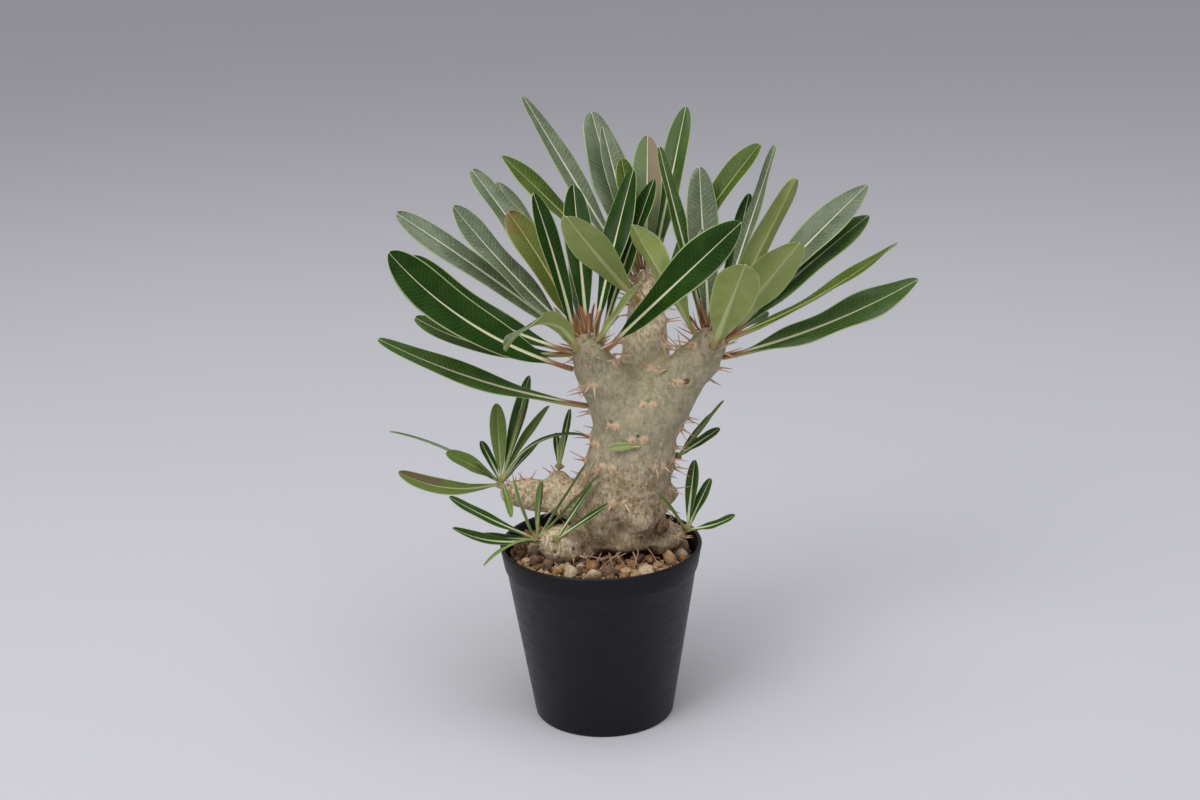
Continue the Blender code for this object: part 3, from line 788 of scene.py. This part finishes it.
pairs = []
for inside, heading, rise, spread, length, droop in FRONT_PAIRS:
    pair_at(inside, aim(heading, rise), spread, length, droop, pairs)
dice = random.Random(5)
turned = 40
for foot, top, first, number, length in LIMBS:
    axis = (Vector(top) - Vector(foot)).normalized()
    across = axis.cross(Vector((0.3, 1, 0.1))).normalized()
    for index in range(number):
        turned += GOLDEN
        inside = Vector(foot).lerp(Vector(top), first + (1 - first) * index / number)
        outwards = Matrix.Rotation(radians(turned), 3, axis) @ across
        # the trunk's front pairs are listed one by one, and so are those on the fronts of its branches
        if outwards.z < -0.8 or (foot[0] > 0 and outwards.y < (0.25 if foot[0] == 13 else -0.55)):
            continue
        pair_at(inside, outwards, dice.uniform(2.6, 4.2), length * dice.uniform(0.8, 1.15),
                dice.uniform(-0.1, 0.5), pairs)
print(len(pairs), "pairs of spines")

# %% [markdown]
# Knobs and scars are listed one by one, because they are what makes this one plant. Each point of the skin
# also keeps a few readings for the finish: how near it is to a cushion or a scar, how old the bark is there,
# how far it lies on the paler, warmer middle branch and left tuber, which is partly their own tone and partly
# painted light, and how far it was pushed out, which paints shade in the hollows.

# %% Shape the skin
# knobs at the foot: (x, y, height above the grit, reach, how far out)
KNOBS = (
    (-2, -11, 20, 8.0, 4.6), (22, -14, 25, 7.0, 4.4), (12, -13, 9, 6.5, 3.0), (22, -8, 10, 5.5, 2.8),
    (10, -16, 21, 5.0, -2.6), (4, -15, 34, 6.5, 1.6), (14, -16, 36, 4.5, -1.2), (31, -5, 24, 6.0, 2.4),
    (32, 8, 33, 4.0, 1.6), (-8, 8, 15, 7.0, 2.0), (24, 22, 18, 8.0, 3.0), (4, 26, 20, 8.0, 3.0),
    (16, 25, 40, 8.0, 1.5), (-9, -8, 18, 4.5, -3.0), (-9, -11, 11, 4.0, -3.0), (-20, -12, 14, 9.0, 1.8),
    (28, -2, 13, 4.0, -1.8),
)
# scars: (x, y, height above the grit, heading, reach, depth)
SCARS = (
    (4.5, 8, 98, 270, 1.7, 0.35), (45, 4, 97.5, 270, 1.9, 0.9), (9, 8, 78, 262, 1.3, 0.6),
    (26, 8, 88, 268, 1.3, 0.5), (-22, -8, 12, 262, 1.2, 0.8), (-15, -7, 13, 275, 1.2, 0.8),
    (20, 8, 71, 270, 1.1, 0.7),
)
bm = bmesh.new()
bm.from_mesh(mesh)
bpy.data.meshes.remove(mesh)
in_millimetres(bm)
bm.normal_update()
SKIN_READINGS = ("cushion", "scar", "old", "warm", "lump")
for name in SKIN_READINGS:
    bm.verts.layers.float.new(name)
layers = [bm.verts.layers.float[name] for name in SKIN_READINGS]
cushions = []
for place, normal, side, lift, spread, length, _droop in pairs:
    cushions += [(place + side * (hand * spread / 2), 1.55 + 0.04 * spread, 1.0) for hand in (-1, 1)]
dimples = [(on_stem(scar[:3], aim(scar[3], 0))[0], scar[4], scar[5]) for scar in SCARS]
for vertex in bm.verts:
    place, out = vertex.co.copy(), vertex.normal.copy()
    height = place.z - GRIT_TOP
    young = clamp((height - 45) / 35)
    move = 0.9 * noise.noise(place / 14) + 0.45 * noise.noise(place / 5.5 + Vector((7, 0, 0)))
    move += (1 - 0.75 * young) * 0.42 * noise.noise(Vector((place.x / 2.6, place.y / 2.6, place.z / 1.3)))
    move += (1 - 0.6 * young) * 0.20 * noise.noise(place / 0.95)
    for x, y, z, wide, far in KNOBS:
        gap = (place - above_grit((x, y, z))).length_squared / (wide * wide)
        if gap < 6:
            move += far * exp(-gap * 1.1)
    swell = scar = 0.0
    for spot, wide, far in cushions:
        gap = (place - spot).length_squared / (wide * wide)
        if gap < 8:
            swell = max(swell, exp(-gap * 0.8) * far)
    for spot, wide, far in dimples:
        gap = (place - spot).length_squared / (wide * wide)
        if gap < 9:
            scar = max(scar, exp(-gap * gap * 1.3) * far)
            move += 0.35 * exp(-((gap ** 0.5 - 1.35) / 0.4) ** 2) * far
    vertex.co = place + out * (move + swell * 1.1 - scar)
    # the middle branch and the left tuber: a paler, warmer patch, partly their own tone and partly painted
    # light over the leaves' shadow
    middle = clamp((place.y - 6) / 7) * clamp((height - 70) / 14)
    tuber = clamp((-6 - place.x) / 8) * clamp((48 - height) / 8)
    for layer, value in zip(layers, (swell, scar, 1 - young, max(middle, tuber * 0.75), move)):
        vertex[layer] = value
    from_axis = Vector((place.x - 10, place.y - 8, 0))
    if height < 10 and from_axis.length < 24:
        pinch = min(1.0, (10 - height) / 9) * 0.5
        vertex.co -= from_axis * pinch
heights = [vertex.co.z for vertex in bm.verts]
print("stem spans z", round(min(heights), 1), "to", round(max(heights), 1))

# %% [markdown]
# Young skin high on the branches is smooth and grey-green. Lower down it ages to tan and brown bark with a
# pale scurf of short upright strokes. The cushions under the spines are cream and pink, and the scars are
# dark, greenest where a leaf fell last. The middle branch and the left tuber are paler and warmer, partly
# their own colour and partly painted light over the leaves' shadow. Painted shade darkens the hollows of the
# skin and its foot near the grit.

# %% Stem skin
stem_skin, tree, shader = new_material("stem_skin")
place = place_of(tree)
old, cushion, scar, warm = (attribute(tree, name) for name in ("old", "cushion", "scar", "warm"))
broad = grain(tree, place, 60, 4, 0.6)
strokes = grain(tree, place, 620, 4, 0.65, (1, 1, 0.5))
scurf = grain(tree, place, 1500, 3, 0.6, (1, 1, 0.6))
patches = grain(tree, place, 150, 5, 0.7)
uneven = times(tree, sums(tree, "SUBTRACT", broad, 0.5), 1.6)
aged = span(tree, plus(tree, old, uneven), 0.15, 1.15)
young = blend(tree, span(tree, patches, 0.34, 0.62), (0.255, 0.250, 0.150), (0.39, 0.335, 0.215))
young = blend(tree, span(tree, strokes, 0.50, 0.66, 0, 0.55), young, (0.53, 0.47, 0.34))
young = blend(tree, span(tree, strokes, 0.44, 0.34, 0, 0.5), young, (0.20, 0.155, 0.09))
bark = blend(tree, span(tree, patches, 0.34, 0.66), (0.295, 0.205, 0.115), (0.48, 0.37, 0.235))
bark = blend(tree, span(tree, strokes, 0.50, 0.64, 0, 0.85), bark, (0.60, 0.51, 0.37))
bark = blend(tree, span(tree, strokes, 0.46, 0.35, 0, 0.85), bark, (0.150, 0.092, 0.048))
skin = blend(tree, aged, young, bark)
# painted light and tone: the middle branch and the left tuber are lifted towards pale cream, partly their own
# colour, partly painted light over the leaves' shadow
pale = blend(tree, span(tree, strokes, 0.38, 0.60), (0.42, 0.31, 0.18), (0.86, 0.73, 0.52))
skin = blend(tree, times(tree, warm, 0.85), skin, pale)
skin = blend(tree, span(tree, scurf, 0.54, 0.70, 0, 0.4), skin, (0.66, 0.59, 0.45))
wool = span(tree, grain(tree, place, 110, 3, 0.5), 0.56, 0.70)
skin = blend(tree, times(tree, wool, 0.4), skin, (0.56, 0.50, 0.38))
skin = blend(tree, span(tree, cushion, 0.10, 0.55, 0, 0.8), skin, (0.66, 0.50, 0.34))
skin = blend(tree, span(tree, cushion, 0.55, 0.95, 0, 0.9), skin, (0.62, 0.33, 0.18))
mark = span(tree, grain(tree, place, 55, 1, 0.5), 0.45, 0.55)
mark = blend(tree, mark, (0.085, 0.150, 0.022), (0.17, 0.095, 0.045))
skin = blend(tree, span(tree, scar, 0.25, 0.65), skin, mark)
# painted shade: the skin turns dark brown where it was pushed in, in the hollows between its lumps
hollow_painted_shade = span(tree, attribute(tree, "lump"), -0.2, -2.2, 0, 0.75)
skin = blend(tree, hollow_painted_shade, skin, (0.17, 0.115, 0.062))
# painted shade: the foot darkens towards the grit, where the trunk stands among the stones
low = span(tree, add_node(tree, "ShaderNodeSeparateXYZ", {"Vector": place}).outputs[2], 0.100, 0.086)
skin = blend(tree, times(tree, low, 0.7), skin, (0.10, 0.058, 0.032))
put(tree, shader.inputs["Base Color"], skin)
put(tree, shader.inputs["Roughness"], span(tree, strokes, 0.3, 0.7, 0.62, 0.85))
relief = times(tree, strokes, plus(tree, times(tree, aged, 0.7), 0.5))
relief = plus(tree, relief, times(tree, scurf, 0.35))
bumped(tree, shader, relief, 0.9, 0.001)
shader.inputs["Specular IOR Level"].default_value = 0.3

stem = finish_piece("stem_skin", bm, [stem_skin], ["stem"])
print("stem has", len(stem.data.polygons), "faces")

# %% [markdown]
# A spine is a stiff thorn, cream and pink at its foot and red-brown at its point. Each is a short
# cone of six sides, drawn standing on its cushion and leaning outwards.


# %% Spine helper
def add_spine(bm, foot, direction, length, thick, sides=6):
    tip = bm.verts.layers.float.get("tip") or bm.verts.layers.float.new("tip")
    turn = direction.normalized().to_track_quat("Z", "Y").to_matrix().to_4x4()
    ring = bmesh.ops.create_cone(
        bm, cap_ends=True, segments=sides, radius1=thick, radius2=thick * 0.12, depth=length,
        matrix=Matrix.Translation((0, 0, length / 2)))["verts"]
    for vertex in ring:
        vertex[tip] = vertex.co.z / length
    bmesh.ops.transform(bm, matrix=Matrix.Translation(foot) @ turn, verts=ring)


# %% Plant the spines
spine_stuff, tree, shader = new_material("spine_horn")
tip = attribute(tree, "tip")
place = place_of(tree)
tint = grain(tree, place, 60, 2, 0.5)
foot_tone = blend(tree, span(tree, tint, 0.4, 0.6), (0.70, 0.42, 0.26), (0.74, 0.60, 0.42))
point_tone = blend(tree, span(tree, tint, 0.45, 0.6), (0.26, 0.10, 0.06), (0.58, 0.30, 0.19))
reach = plus(tree, tip, times(tree, grain(tree, place, 900), 0.2))
put(tree, shader.inputs["Base Color"], blend(tree, span(tree, reach, 0.35, 0.95), foot_tone, point_tone))
roughened(tree, shader, place, 1200, 0.4, 0.55)
bumped(tree, shader, grain(tree, place, 2200, 2, 0.5, (1, 1, 0.3)), 0.25, 0.0003)
bm = bmesh.new()
dice = random.Random(11)
for place, normal, side, lift, spread, length, droop in pairs:
    for hand in (-1, 1):
        foot = place + side * (hand * spread / 2) + normal * 0.6
        lean = normal + side * (hand * dice.uniform(0.35, 0.75)) + lift * (dice.uniform(-0.05, 0.25) - droop)
        add_spine(bm, foot, lean, length * dice.uniform(0.85, 1.1), 0.55)
# a dense brush of younger spines round each crown, between the stalks
for centre, number in ((CROWNS["left"], 38), (CROWNS["right"], 38), (CROWNS["top"], 40)):
    for index in range(number):
        heading, rise = index * GOLDEN, -40 + 110 * index / number
        place, normal = on_stem(centre, aim(heading, rise))
        lean = aim(heading + dice.uniform(-25, 25), rise * 0.6 + dice.uniform(0, 50))
        add_spine(bm, place, lean, dice.uniform(6.5, 12.0), 0.6)
# short dry ones round the tufts on the tubers
for name in ("front", "right", "left"):
    inside, facing, _rows = TUFTS[name]
    facing = Vector(facing).normalized()
    for index in range(16):
        lean = (facing + aim(index * GOLDEN, dice.uniform(-40, 50))).normalized()
        place, normal = on_stem(inside, lean)
        add_spine(bm, place, lean + normal * 0.4, dice.uniform(2.5, 5.0), 0.42, 5)
bmesh.ops.recalc_face_normals(bm, faces=bm.faces)
spines = finish_piece("spines", bm, [spine_stuff])
print("spines have", len(spines.data.polygons), "faces")

# %% [markdown]
# ## Buds
# At the heart of each crown stand a few leaves that are still narrow, folded and reddish.

# %% Crown buds
bud_face = leaf_material(
    "bud_leaf",
    ((0.17, 0.165, 0.045), (0.24, 0.20, 0.070), (0.52, 0.44, 0.24), (0.40, 0.26, 0.13), RED_STALK,
     (0.36, 0.13, 0.075)),
    {"Veins": 0.0, "Rib width": 0.4, "Roughness": 0.45, "Blotches": 0.6})
bm = bmesh.new()
dice = random.Random(8)
for crown in ("left", "right", "top"):
    for index in range(6):
        heading, rise = index * GOLDEN, 84 - 7 * index
        start = on_stem(CROWNS[crown], aim(heading, rise))[0]
        row = (heading, rise - 4, dice.uniform(13, 24), dice.uniform(2.6, 4.2), 6, 0)
        lay_leaf(bm, row, start, 1.4, 14, 6, f"bud{crown}{index}", 0.4)
piece = finish_piece("crown_buds", bm, [bud_face, bud_face])
thicken(piece, 1.2)

# %% [markdown]
# ## A leaf low on the trunk
# One small leaf has sprouted straight from the trunk, on a green scar, and lies across it.

# %% Sprout leaf
sprout = FACES["olive"].copy()
sprout.name = "sprout_leaf"
skin = next(node for node in sprout.node_tree.nodes if node.type == "GROUP")
skin.inputs["Blade"].default_value = (0.235, 0.28, 0.10, 1)
skin.inputs["Shade"].default_value = (0.29, 0.33, 0.14, 1)
skin.inputs["Stalk"].default_value = (0.40, 0.38, 0.15, 1)
skin.inputs["Rib width"].default_value = 0.4
bm = bmesh.new()
start = on_stem((21, 8, 66), (0, -1, 0))[0] + Vector((0, -0.9, 0))
lay_leaf(bm, (182, -1, 16, 4.6, 16, -64), start, 1.2, 16, 6, "sprout", 0.4)
piece = finish_piece("sprout_leaf", bm, [sprout, UNDERSIDE_PAINTED_GLOW])
thicken(piece, 0.9)

# %% [markdown]
# ## Roots
# Thin tan roots leave the foot of the trunk and of the tubers and dive between the stones. Each is a
# curve with a round section that thins towards its end, turned into a mesh.

# %% Roots
ROOTS = (
    # points (x, y, height above the grit), thickness
    (((-9, -13, 9), (-5, -22, 5), (-0.5, -34, 2)), 0.75),
    (((-11, -13, 8), (0, -18, 7), (13, -14, 8.5)), 0.6),
    (((10, -13, 9), (2, -22, 6), (-6, -32, 2)), 0.65),
    (((16, -11, 9), (18, -19, 5), (20, -25, 2)), 0.6),
    (((16, -18, 20), (18.5, -20.5, 12), (17, -24, 6), (15, -33, 1.5)), 0.75),
    (((-30, -14, 7), (-34, -18, 5), (-38, -24, 1)), 0.5),
    (((-27, -16, 6), (-29, -22, 4), (-29, -30, 1)), 0.55),
    (((-24, -18, 6), (-21, -24, 4), (-20, -33, 1)), 0.5),
    (((-35, -10, 7), (-39, -14, 4), (-42, -19, 1)), 0.5),
    (((-4, -13, 9), (-8, -20, 5), (-16, -26, 2)), 0.5),
    (((4, -14, 9), (6, -24, 5), (5, -36, 2)), 0.55),
    (((8, -14, 9), (13, -24, 4), (22, -30, 1)), 0.5),
    (((0, -14, 9), (-3, -25, 6), (-10, -36, 2)), 0.45),
    (((24, -9, 9), (28, -16, 5), (33, -20, 1)), 0.5),
    (((5, -14, 8), (-4, -19, 6), (-14, -17, 5)), 0.45),
)
curve = bpy.data.curves.new("roots", "CURVE")
curve.dimensions = "3D"
curve.bevel_depth = MM
curve.bevel_resolution = 2
curve.use_fill_caps = True
dice = random.Random(3)
for points, thick in ROOTS:
    line = curve.splines.new("NURBS")
    line.use_endpoint_u = True
    line.order_u = 3
    line.resolution_u = 6
    knots = []
    for here, there in zip(points, points[1:]):
        here, there = above_grit(here), above_grit(there)
        knots += [here.lerp(there, share) for share in (0, 0.34, 0.67)]
    knots.append(above_grit(points[-1]))
    line.points.add(len(knots) - 1)
    for index, (knot, point) in enumerate(zip(line.points, knots)):
        wander = Vector([dice.uniform(-0.5, 0.5) for _ in range(3)]) * (0.0 if index == 0 else 1.0)
        knot.co = (*((point + wander) * MM), 1)
        knot.radius = thick * (0.8 - 0.45 * index / len(knots))
drawn = bpy.data.objects.new("roots", curve)
scene.collection.objects.link(drawn)
mesh = baked(drawn)
bpy.data.objects.remove(drawn)
root_skin, tree, shader = new_material("root_skin")
place = place_of(tree)
put(tree, shader.inputs["Base Color"], blend(
    tree, span(tree, grain(tree, place, 200, 4, 0.6), 0.36, 0.64), (0.24, 0.13, 0.085), (0.46, 0.30, 0.20)))
roughened(tree, shader, place, 900, 0.55, 0.8)
bumped(tree, shader, grain(tree, place, 1300, 3), 0.6, 0.0004)
bm = bmesh.new()
bm.from_mesh(mesh)
bmesh.ops.remove_doubles(bm, verts=bm.verts, dist=0.000001)
bmesh.ops.recalc_face_normals(bm, faces=bm.faces)
in_millimetres(bm)
finish_piece("roots", bm, [root_skin])
print(len(ROOTS), "roots")

# %% [markdown]
# ## The grit
# The bed keeps its measured shape and is painted dark: partly the grit's own brown, partly painted shade,
# darkest in the cracks between its clods, which is what shows between the stones. On it lie rounded grains of
# pumice and baked clay. A grain is an icosphere that is squashed at random and dented by noise. They are
# dropped by throwing darts: a place counts when it is inside the pot, clear of the stem and not on top of an
# earlier grain. Then finer grains fill the gaps.

# %% Grit bed
grit_bed_with_painted_shade, tree, shader = new_material("grit_bed_with_painted_shade")
place = place_of(tree)
clods = add_node(tree, "ShaderNodeTexVoronoi", {"Vector": place, "Scale": 260})
tint = blend(tree, grain(tree, place, 300, 5, 0.7), (0.045, 0.024, 0.013), (0.17, 0.088, 0.040))
# partly the grit's brown, partly painted shade: the bed is kept dark and its clods go near black at their
# cracks, for the shade between the stones
put(tree, shader.inputs["Base Color"], blend(
    tree, span(tree, clods.outputs["Distance"], 0.15, 0.6), tint, (0.022, 0.013, 0.009)))
roughened(tree, shader, place, 500, 0.75, 0.95)
bumped(tree, shader, clods.outputs["Distance"], -1.0, 0.0025)
bm = measured_copy("grit")
in_millimetres(bm)
finish_piece("grit_bed_with_painted_shade", bm, [grit_bed_with_painted_shade], ["grit"])

# %% Drop the stones
BED_R = 47.5


def heap(x, y):
    """How high the stones lie above the bed: highest at the left and front, lowest at the right back."""
    return 2.6 + 2.6 * noise.noise(Vector((x / 26, y / 26, 3))) - 0.045 * (x + 0.6 * y)


def clear_of_stem(spot, radius):
    near, normal, _face, far = stem_tree.find_nearest(spot * MM)
    inside = (spot * MM - near).dot(normal) < 0
    return not inside and far / MM > radius * 0.5


def drop(dice, tries, smallest, largest, sunk, packed):
    """Places for round grains: (place, radius), each sunk a little into its neighbours at most."""
    laid = []
    for _ in range(tries):
        angle, out = dice.uniform(0, 2 * pi), BED_R * dice.random() ** 0.5
        radius = smallest + (largest - smallest) * dice.random() ** 1.6
        x, y = out * cos(angle), out * sin(angle)
        if out + radius > BED_R + 0.6:
            continue
        spot = Vector((x, y, GRIT_TOP + heap(x, y) + radius * (1 - sunk)))
        free = all((spot - other).length > (radius + size) * packed for other, size in laid)
        if free and clear_of_stem(spot, radius):
            laid.append((spot, radius))
    return laid


def add_grain(bm, spot, radius, dice, subdivisions):
    tone = bm.verts.layers.float.get("tone") or bm.verts.layers.float.new("tone")
    made = bmesh.ops.create_icosphere(bm, subdivisions=subdivisions, radius=radius)["verts"]
    squash = Vector([dice.uniform(0.62, 1.2) for _ in range(3)])
    shift, shade = Vector([dice.uniform(0, 90) for _ in range(3)]), dice.random()
    for vertex in made:
        ray = vertex.co / radius
        dent = 1 + 0.55 * noise.noise(ray * 0.9 + shift) + 0.34 * noise.noise(ray * 2.1 + shift)
        vertex.co = Vector([a * b for a, b in zip(vertex.co, squash)]) * dent
        vertex[tone] = shade
    spin = Euler([dice.uniform(0, 6.28) for _ in range(3)]).to_matrix().to_4x4()
    bmesh.ops.transform(bm, matrix=Matrix.Translation(spot) @ spin, verts=made)


dice = random.Random(21)
stones = drop(dice, 3000, 1.7, 5.0, 0.45, 0.86)
fines = drop(dice, 3000, 0.7, 1.7, 0.9, 0.85)
stones.append((above_grit((32, -9, 21)), 4.2))
grit_stone, tree, shader = new_material("grit_stone")
place = place_of(tree)
tone = attribute(tree, "tone")
clay = blend(tree, span(tree, tone, 0.34, 0.40), (0.105, 0.046, 0.020), (0.36, 0.155, 0.055))
tan = blend(tree, span(tree, tone, 0.62, 0.66), clay, (0.50, 0.31, 0.155))
stone = blend(tree, span(tree, tone, 0.86, 0.88), tan, (0.68, 0.53, 0.36))
stain = span(tree, grain(tree, place, 420, 4, 0.65), 0.38, 0.66, 0, 0.6)
stone = blend(tree, stain, stone, (0.26, 0.145, 0.07))
powder = span(tree, grain(tree, place, 1500, 3, 0.6), 0.52, 0.70, 0, 0.45)
stone = blend(tree, powder, stone, (0.72, 0.60, 0.45))
put(tree, shader.inputs["Base Color"], stone)
roughened(tree, shader, place, 700, 0.78, 0.95)
bumped(tree, shader, grain(tree, place, 900, 5, 0.7), 1.0, 0.0011)
bm = bmesh.new()
for spot, radius in stones:
    add_grain(bm, spot, radius, dice, 2)
for spot, radius in fines:
    add_grain(bm, spot, radius, dice, 1)
bmesh.ops.recalc_face_normals(bm, faces=bm.faces)
pebbles = finish_piece("grit_stones", bm, [grit_stone])
print(len(stones), "stones and", len(fines), "fine grains,", len(pebbles.data.polygons), "faces")
